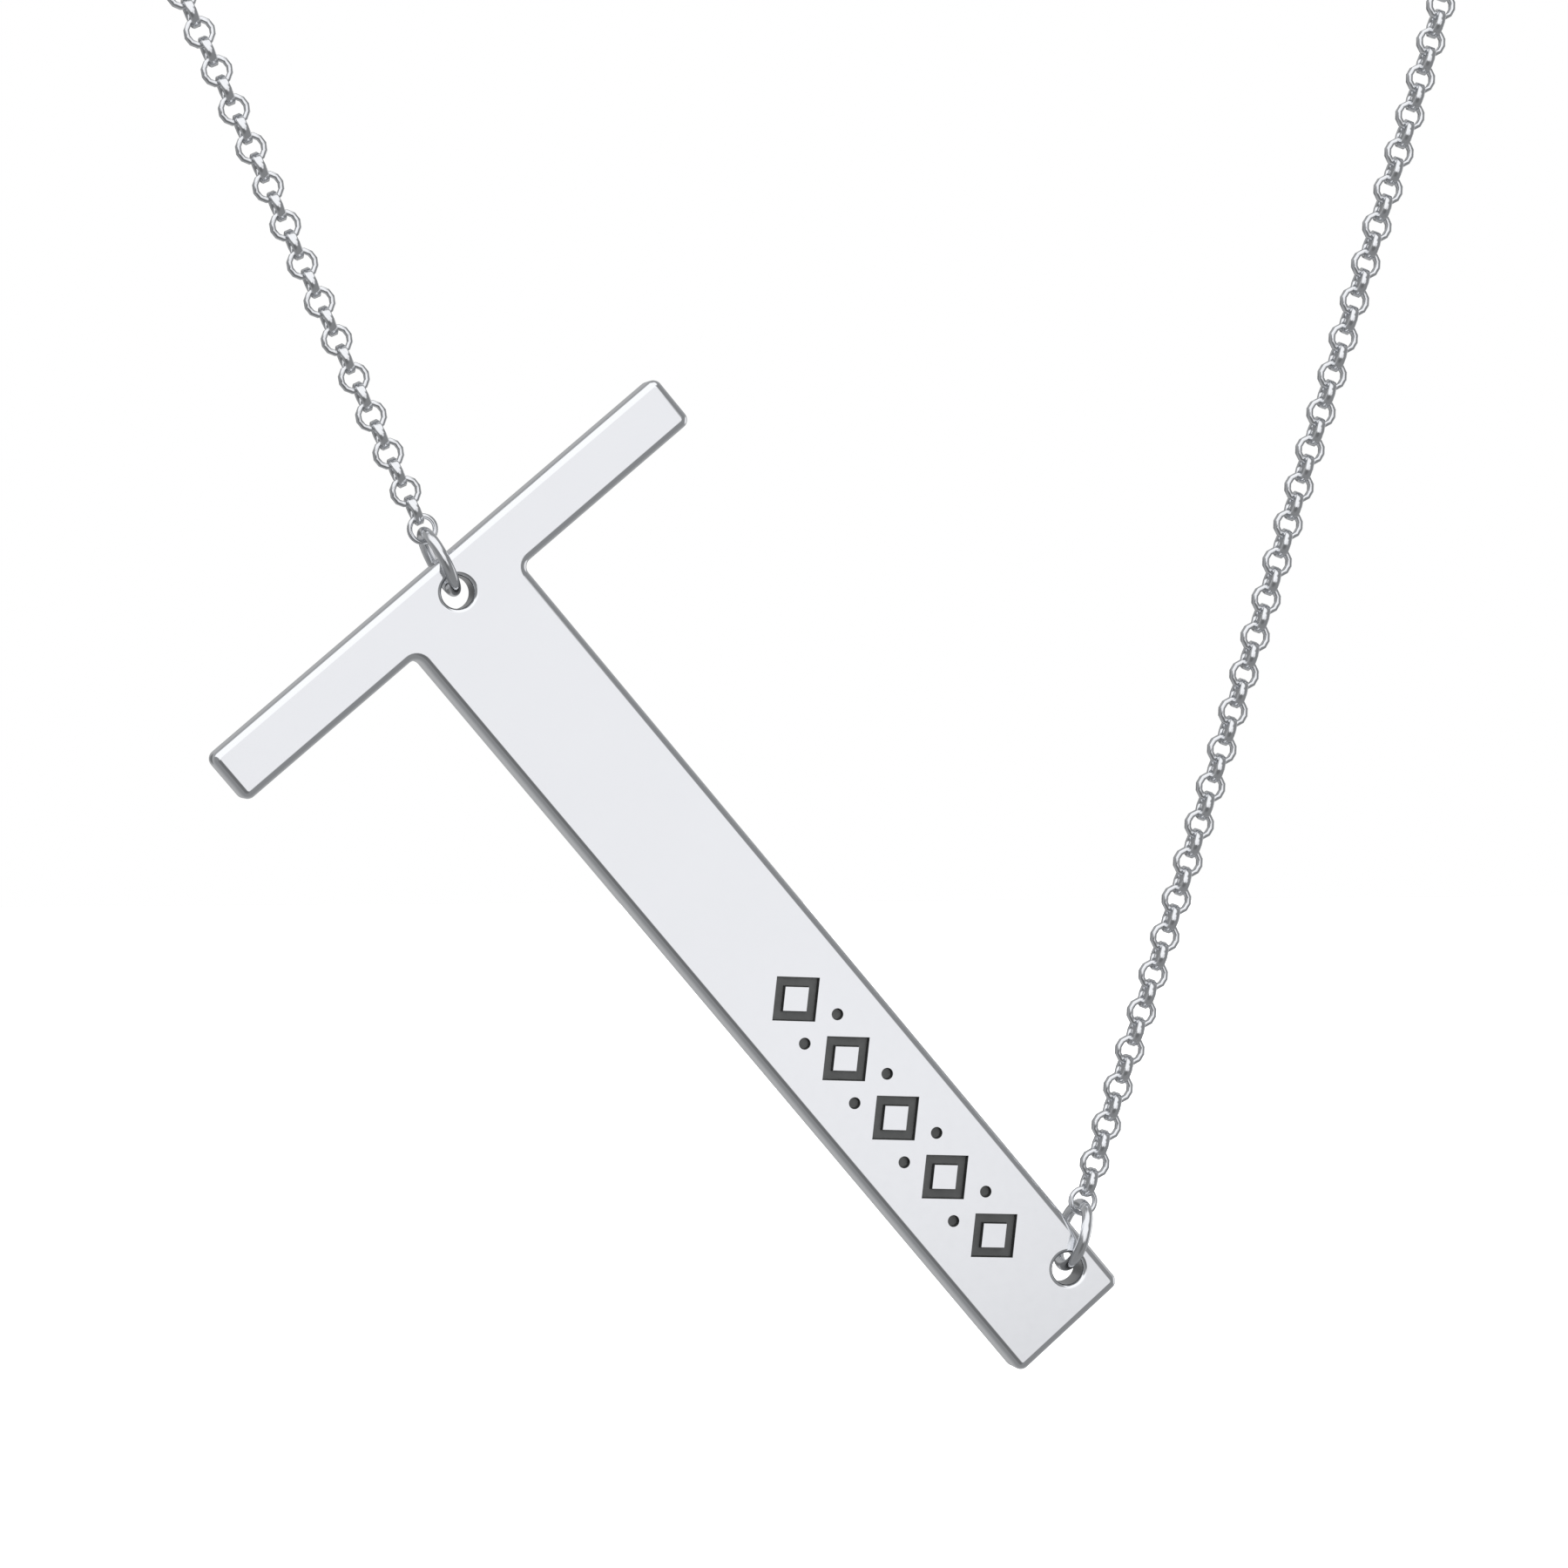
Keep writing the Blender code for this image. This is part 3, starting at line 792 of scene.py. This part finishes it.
def make_run(name, node, places, wire, material):
    """The links of one run of the chain, as one piece."""
    bm = bmesh.new()
    bend_wire(bm, wire.link_radius, wire.link_wire, LINK_CUT, wire.link_flat, wire.link_band)
    join_doubles(bm)
    pattern = bm.verts[:] + bm.edges[:] + bm.faces[:]
    pattern_points = bm.verts[:]
    for place in places:
        copied = bmesh.ops.duplicate(bm, geom=pattern)
        bmesh.ops.transform(bm, matrix=place, verts=moved_points(copied))
    bmesh.ops.delete(bm, geom=pattern_points, context="VERTS")
    run = add_object(name, bm)
    finish_piece(run, "necklace", node, [material], crease=80.0)


def make_chain(plate, wire, material):
    """Both runs of the chain, from the links at the plate to the links at the nape."""
    left, right = front_links(plate, wire)
    back_left, back_right = back_links(wire)
    runs = (
        ("left", -1.0, left, CHEST_LEFT, back_left, wire.left_links, UP),
        ("right", 1.0, right, CHEST_RIGHT, back_right, wire.right_links, FRONT),
    )
    for name, side, (middle, start), chest, back, links, last_normal in runs:
        neck = [Vector((side * x, y, z)) for x, y, z in NECK_SIDE]
        end = back + RIGHT * side * link_reach(wire)
        curve = smooth_route([start, *map(Vector, chest), *neck, end])
        places = run_places([middle, *curve, back], links, FRONT, last_normal)
        make_run(f"chain_links_{name}", f"chain_{name}", places, wire, material)


def clasp_place(wire):
    """The clasp is modelled about +Z with its lever on +Y, and stands up facing the front."""
    turned = Matrix((RIGHT, UP, FRONT)).transposed().to_4x4()
    return Matrix.Translation(Vector(wire.clasp_seat)) @ turned


def clasp_tube(wire):
    """The tube of the spring ring, open where its bolt shows, with a slot for the lever."""
    bm = bmesh.new()
    span = {"start": BOLT_START + BOLT_SWEEP, "sweep": math.tau - BOLT_SWEEP}
    bend_wire(bm, wire.clasp_radius, wire.clasp_wire, CLASP_CUT, **span)
    round_off(bm, cut_rims(bm.edges), wire.clasp_wire * END_ROUNDING, CLASP_EDGE_STEPS)
    tube = add_object("spring_ring", bm)
    slot = bmesh.new()
    outer = wire.clasp_radius + wire.clasp_wire
    deep = wire.clasp_wire * SLOT_DEPTH
    wide = wire.clasp_wire * SLOT_WIDTH
    place = on_ring(outer, SLOT_START) @ Matrix.Diagonal((deep, wide, 1.0, 1.0))
    bmesh.ops.create_grid(slot, x_segments=1, y_segments=1, size=0.5, matrix=place)
    section = slot.verts[:] + slot.edges[:] + slot.faces[:]
    spin(slot, section, Vector(), UP, SLOT_SWEEP, SLOT_STEPS, False)
    bmesh.ops.recalc_face_normals(slot, faces=slot.faces[:])
    cut(tube, add_object("slot_cutter", slot))
    return tube


def add_collar(bm, wire, angle):
    """A narrow band round the tube, at one end of it."""
    radius = wire.clasp_wire * COLLAR_RADIUS
    wide = wire.clasp_wire * COLLAR_WIDTH
    place = on_ring(wire.clasp_radius, angle)
    points = add_rod(bm, place, radius, radius, wide, CLASP_CUT[0])
    round_off(bm, cut_rims(edges_at(points)), radius * END_ROUNDING, CLASP_EDGE_STEPS)


def add_lever(bm, wire):
    """The little lever on top of the spring ring, with a round knob."""
    base = wire.clasp_radius + wire.clasp_wire * LEVER_FOOT
    top = wire.clasp_radius + wire.clasp_wire + wire.lever_length / 2
    knob = wire.clasp_wire * KNOB_RADIUS
    upright = Matrix.Rotation(-QUARTER, 4, "X")
    stalk = knob * STALK_RADIUS
    place = Matrix.Translation((0.0, (base + top - knob) / 2, 0.0)) @ upright
    add_rod(bm, place, stalk, stalk, top - base - knob, STALK_STEPS)
    place = Matrix.Translation((0.0, top - knob, 0.0)) @ upright
    bmesh.ops.create_uvsphere(bm, u_segments=24, v_segments=14, radius=knob, matrix=place)


def make_clasp(wire, material, dark):
    """The spring ring with its bolt, collars, lever and eye, and the ring that it closes on."""
    tube = clasp_tube(wire)
    bm = bmesh.new()
    bm.from_mesh(tube.data)
    # The faces inside the slot get the painted shade
    for face in bm.faces:
        middle = face.calc_center_median()
        along = Vector((middle.x, middle.y, 0.0)).normalized() * wire.clasp_radius
        inside = (middle - along).length < wire.clasp_wire * SLOT_WALL
        if inside and abs(math.atan2(middle.y, middle.x) - SLOT_MIDDLE) < SLOT_REACH:
            face.material_index = 1
    bolt = wire.clasp_wire * BOLT_RADIUS
    span = {"start": BOLT_START - BOLT_HIDDEN, "sweep": BOLT_SWEEP + 2 * BOLT_HIDDEN}
    bend_wire(bm, wire.clasp_radius, bolt, BOLT_CUT, **span)
    for angle in (BOLT_START - COLLAR_INSET, BOLT_START + BOLT_SWEEP + COLLAR_INSET):
        add_collar(bm, wire, angle)
    add_lever(bm, wire)
    eye = bend_wire(bm, wire.eye_radius, wire.eye_wire, EYE_CUT)
    eye_points = list(dict.fromkeys(point for face in eye for point in face.verts))
    shift = (eye_middle(wire).x - wire.clasp_seat[0], 0.0, 0.0)
    bmesh.ops.translate(bm, verts=eye_points, vec=shift)
    join_doubles(bm)
    bmesh.ops.transform(bm, matrix=clasp_place(wire), verts=bm.verts[:])
    bm.to_mesh(tube.data)
    bm.free()
    finish_piece(tube, "necklace", "clasp", [material, dark])
    ring = jointed_ring("catch_ring", wire, ring_place(catch_middle(wire), UP, FRONT))
    finish_piece(ring, "necklace", "clasp_ring", [material])


def new_node(tree, kind, **inputs):
    """A node with its inputs set by name, each to a value or to what another node gives."""
    node = tree.nodes.new(kind)
    for name, given in inputs.items():
        socket = node.inputs[name.replace("_", " ")]
        if isinstance(given, bpy.types.NodeSocket):
            tree.links.new(given, socket)
        else:
            socket.default_value = given
    return node


def noise(tree, place, scale, detail, roughness):
    """A cloudy pattern from 0 to 1."""
    values = {"Vector": place, "Scale": scale, "Detail": detail, "Roughness": roughness}
    return new_node(tree, "ShaderNodeTexNoise", **values).outputs["Fac"]


def vary(tree, pattern, low, high):
    """Turns the middle of a pattern's range into values between two numbers."""
    values = {"Value": pattern, "From_Min": 0.3, "From_Max": 0.7, "To_Min": low, "To_Max": high}
    return new_node(tree, "ShaderNodeMapRange", **values).outputs["Result"]


def blend(tree, amount, below, above):
    """Puts a plain colour over one below it, which may be a colour or the output of a node."""
    mix = tree.nodes.new("ShaderNodeMix")
    mix.data_type = "RGBA"
    tree.links.new(amount, mix.inputs["Factor"])
    if isinstance(below, bpy.types.NodeSocket):
        tree.links.new(below, mix.inputs[MIX_BELOW])
    else:
        mix.inputs[MIX_BELOW].default_value = (*below, 1.0)
    mix.inputs[MIX_ABOVE].default_value = (*above, 1.0)
    return mix.outputs[MIX_RESULT]


def metal_shader(name, roughness):
    """A bare metal material, with its shader and the place on the object that patterns use."""
    material = bpy.data.materials.new(name)
    material.use_nodes = True
    tree = material.node_tree
    shader = tree.nodes["Principled BSDF"]
    shader.inputs["Metallic"].default_value = 1.0
    shader.inputs["Roughness"].default_value = roughness
    return material, tree, shader, tree.nodes.new("ShaderNodeTexCoord").outputs["Object"]


def dress_shader(tree, shader, colours, rough, height, strength, distance):
    """Gives a shader its colours, its roughness and a fine relief."""
    relief = new_node(tree, "ShaderNodeBump", Height=height, Strength=strength, Distance=distance)
    tree.links.new(relief.outputs["Normal"], shader.inputs["Normal"])
    tree.links.new(colours, shader.inputs["Base Color"])
    tree.links.new(rough, shader.inputs["Roughness"])


def polished_silver(name, base, roughness):
    """Bright polished silver with faint wear in its polish and hairline marks."""
    material, tree, shader, place = metal_shader(name, roughness)
    lay = {"Scale": (900.0, 900.0, 9000.0), "Rotation": (0.0, math.radians(-27.0), 0.0)}
    stretch = new_node(tree, "ShaderNodeMapping", Vector=place, **lay)
    clouds = noise(tree, place, scale=170.0, detail=3.0, roughness=0.6)
    grain = noise(tree, place, scale=2400.0, detail=4.0, roughness=0.65)
    hairs = noise(tree, stretch.outputs["Vector"], scale=1.0, detail=2.0, roughness=0.5)
    colours = blend(tree, clouds, [channel * 0.97 for channel in base], base)
    rough = vary(tree, grain, low=roughness * 0.75, high=roughness * 1.3)
    dress_shader(tree, shader, colours, rough, hairs, strength=0.10, distance=0.000002)
    return material


def darkened_silver(name, base, roughness):
    """Matt, uneven dark silver: the ornament's patina, and painted shade in the holes and the slot.
    """
    material, tree, shader, place = metal_shader(name, roughness)
    blotches = noise(tree, place, scale=1500.0, detail=3.0, roughness=0.6)
    grain = noise(tree, place, scale=9000.0, detail=3.0, roughness=0.7)
    colours = blend(tree, blotches, [channel * 0.84 for channel in base], base)
    rough = vary(tree, blotches, low=roughness * 0.85, high=roughness * 1.15)
    dress_shader(tree, shader, colours, rough, grain, strength=0.35, distance=0.00001)
    return material


def wire_material(finish):
    """The one polish that all the wire shares."""
    known = bpy.data.materials.get("wire_polish")
    return known or polished_silver("wire_polish", finish.wire_colour, finish.wire_roughness)


def soft_edge(tree, value, outer, inner):
    """Fades a value in from 0 at one level to 1 at another."""
    edge = new_node(tree, "ShaderNodeMapRange", Value=value, From_Min=outer, From_Max=inner)
    edge.interpolation_type = "SMOOTHSTEP"
    return edge.outputs["Result"]


def toward(tree, ray, direction):
    """How far a ray points in a direction, from -1 to 1."""
    facing = tree.nodes.new("ShaderNodeVectorMath")
    facing.operation = "DOT_PRODUCT"
    facing.inputs[1].default_value = Vector(direction).normalized()
    tree.links.new(ray, facing.inputs[0])
    return facing.outputs["Value"]


def round_card(tree, ray, middle, inner, outer):
    """The shape of a round card, from full within one angle of its middle to none past another."""
    gone, full = (math.cos(math.radians(angle)) for angle in (outer, inner))
    return soft_edge(tree, toward(tree, ray, middle), gone, full)


def worked_out(tree, operation, *values):
    """What a sum makes of the values that other nodes give."""
    sum_node = tree.nodes.new("ShaderNodeMath")
    sum_node.operation = operation
    for value, socket in zip(values, sum_node.inputs):
        tree.links.new(value, socket)
    return sum_node.outputs[0]


def narrow_card(tree, ray, shape, pole, inner, outer):
    """Keeps only the strip of a card that lies square to a direction."""
    off_square = worked_out(tree, "ABSOLUTE", toward(tree, ray, pole))
    gone, full = (math.sin(math.radians(angle)) for angle in (outer, inner))
    return worked_out(tree, "MULTIPLY", shape, soft_edge(tree, off_square, gone, full))


def make_studio_light(studio):
    """A dim room with a far wall, two dark flags, a wide soft box on the left and three cards."""
    world = bpy.data.worlds.new("studio")
    bpy.context.scene.world = world
    world.use_nodes = True
    tree = world.node_tree
    ray = tree.nodes.new("ShaderNodeTexCoord").outputs["Generated"]
    in_front = soft_edge(tree, toward(tree, ray, FRONT), *SOFT_BOX_BACK)
    soft_box = narrow_card(tree, ray, round_card(tree, ray, *SOFT_BOX), *SOFT_BOX_STRIP)
    light = studio.room
    for shape, look in (
        (round_card(tree, ray, *FAR_WALL), studio.far_wall),
        (round_card(tree, ray, *FAR_FLAG), studio.flag),
        (round_card(tree, ray, *RIGHT_CARD), studio.right_card),
        (round_card(tree, ray, *LOW_FLAG), studio.flag),
        (worked_out(tree, "MULTIPLY", soft_box, in_front), studio.soft_box),
        (round_card(tree, ray, *TOP_CARD), studio.soft_box),
        (round_card(tree, ray, *FRONT_CARD), studio.front_card),
        (tree.nodes.new("ShaderNodeLightPath").outputs["Is Camera Ray"], WHITE),
    ):
        light = blend(tree, shape, light, look)
    tree.links.new(light, tree.nodes["Background"].inputs["Color"])


def make_floor(studio):
    """A plain white floor, far below the necklace."""
    bm = bmesh.new()
    drop = Matrix.Translation((0.0, 0.0, -studio.floor_drop))
    bmesh.ops.create_grid(bm, x_segments=1, y_segments=1, size=studio.floor_size / 2, matrix=drop)
    floor = add_object("studio_floor", bm)
    material = bpy.data.materials.new("white_floor")
    material.use_nodes = True
    shader = material.node_tree.nodes["Principled BSDF"]
    shader.inputs["Base Color"].default_value = (0.9, 0.9, 0.9, 1.0)
    shader.inputs["Roughness"].default_value = 0.9
    shader.inputs["Emission Color"].default_value = (*WHITE, 1.0)
    shader.inputs["Emission Strength"].default_value = 0.9
    floor.data.materials.append(material)
    floor.visible_glossy = False
    floor.visible_diffuse = False


def make_camera(plate, studio):
    """The camera stands left of the front and a little above the plate, and looks almost level."""
    right = Vector(CAMERA_RIGHT).normalized()
    away = Vector(CAMERA_AWAY)
    away = (away - right * away.dot(right)).normalized()
    down = away.cross(right)
    data = bpy.data.cameras.new("photo_camera")
    data.lens = studio.lens
    data.sensor_width = 36.0
    data.clip_start = 0.01
    data.clip_end = 50.0
    camera = bpy.data.objects.new("photo_camera", data)
    bpy.context.scene.collection.objects.link(camera)
    across, below = ((seen - PICTURE_MIDDLE) / FOCAL_STEPS for seen in BAR_TOP_SEEN)
    view = away + right * across + down * below
    turned = Matrix((right, -down, -away)).transposed().to_4x4()
    front_face = Vector(plate.bar_top) + FRONT * (plate.thickness / 2)
    place = front_face - view * studio.distance
    camera.matrix_world = Matrix.Translation(place) @ turned
    bpy.context.scene.camera = camera


class NECKLACE_OT_plate(bpy.types.Operator):
    """Model the polished plate with its two holes and the ornament on its stem"""

    bl_idname = "necklace.plate"
    bl_label = "Plate"

    def execute(self, context):
        make_plate(context.scene.plate_sizes, context.scene.silver_finish)
        return {"FINISHED"}


class NECKLACE_OT_jump_rings(bpy.types.Operator):
    """Model the two jump rings that go through the plate"""

    bl_idname = "necklace.jump_rings"
    bl_label = "Jump rings"

    def execute(self, context):
        scene = context.scene
        make_jump_rings(scene.plate_sizes, scene.wire_sizes, wire_material(scene.silver_finish))
        return {"FINISHED"}


class NECKLACE_OT_end_links(bpy.types.Operator):
    """Model the links that the two runs of the chain end in"""

    bl_idname = "necklace.end_links"
    bl_label = "End links"

    def execute(self, context):
        scene = context.scene
        make_end_links(scene.plate_sizes, scene.wire_sizes, wire_material(scene.silver_finish))
        return {"FINISHED"}


class NECKLACE_OT_chain(bpy.types.Operator):
    """Model every link of the two runs of the chain"""

    bl_idname = "necklace.chain"
    bl_label = "Chain"

    def execute(self, context):
        scene = context.scene
        make_chain(scene.plate_sizes, scene.wire_sizes, wire_material(scene.silver_finish))
        return {"FINISHED"}


class NECKLACE_OT_clasp(bpy.types.Operator):
    """Model the spring ring and the ring that it closes on"""

    bl_idname = "necklace.clasp"
    bl_label = "Clasp"

    def execute(self, context):
        finish = context.scene.silver_finish
        silver = wire_material(finish)
        dark = darkened_silver("slot_shade", finish.dark_colour, finish.sunk_roughness)
        make_clasp(context.scene.wire_sizes, silver, dark)
        return {"FINISHED"}


class NECKLACE_OT_studio(bpy.types.Operator):
    """Set up the white floor, the soft light and the camera"""

    bl_idname = "necklace.studio"
    bl_label = "Studio"

    def execute(self, context):
        studio = context.scene.studio_look
        context.scene.view_settings.view_transform = "Standard"
        make_studio_light(studio)
        make_floor(studio)
        make_camera(context.scene.plate_sizes, studio)
        return {"FINISHED"}


STEPS = ["plate", "jump_rings", "end_links", "chain", "clasp", "studio"]


class NECKLACE_PT_panel(bpy.types.Panel):
    """Lists the pieces of the necklace and their sizes and finishes"""

    bl_idname = "NECKLACE_PT_panel"
    bl_label = "Necklace"
    bl_space_type = "VIEW_3D"
    bl_region_type = "UI"
    bl_category = "Necklace"

    def draw(self, context):
        layout = self.layout
        for step in STEPS:
            layout.operator(f"necklace.{step}")
        for holder in GROUPS:
            values = getattr(context.scene, holder)
            box = layout.box()
            for name in values.bl_rna.properties.keys():
                if name not in ("rna_type", "name"):
                    box.prop(values, name)


GROUPS = {
    "plate_sizes": PlateSizes,
    "wire_sizes": WireSizes,
    "silver_finish": SilverFinish,
    "studio_look": StudioLook,
}
CLASSES = [
    *GROUPS.values(),
    NECKLACE_OT_plate,
    NECKLACE_OT_jump_rings,
    NECKLACE_OT_end_links,
    NECKLACE_OT_chain,
    NECKLACE_OT_clasp,
    NECKLACE_OT_studio,
    NECKLACE_PT_panel,
]


def register():
    """Adds the operators, the panel and the sizes that they use."""
    for kind in CLASSES:
        bpy.utils.register_class(kind)
    for holder, kind in GROUPS.items():
        setattr(bpy.types.Scene, holder, PointerProperty(type=kind))


def unregister():
    """Takes them out again."""
    for holder in GROUPS:
        delattr(bpy.types.Scene, holder)
    for kind in reversed(CLASSES):
        bpy.utils.unregister_class(kind)


def main():
    """Builds the necklace and its studio."""
    register()
    for step in STEPS:
        getattr(bpy.ops.necklace, step)()


if __name__ == "__main__":
    main()
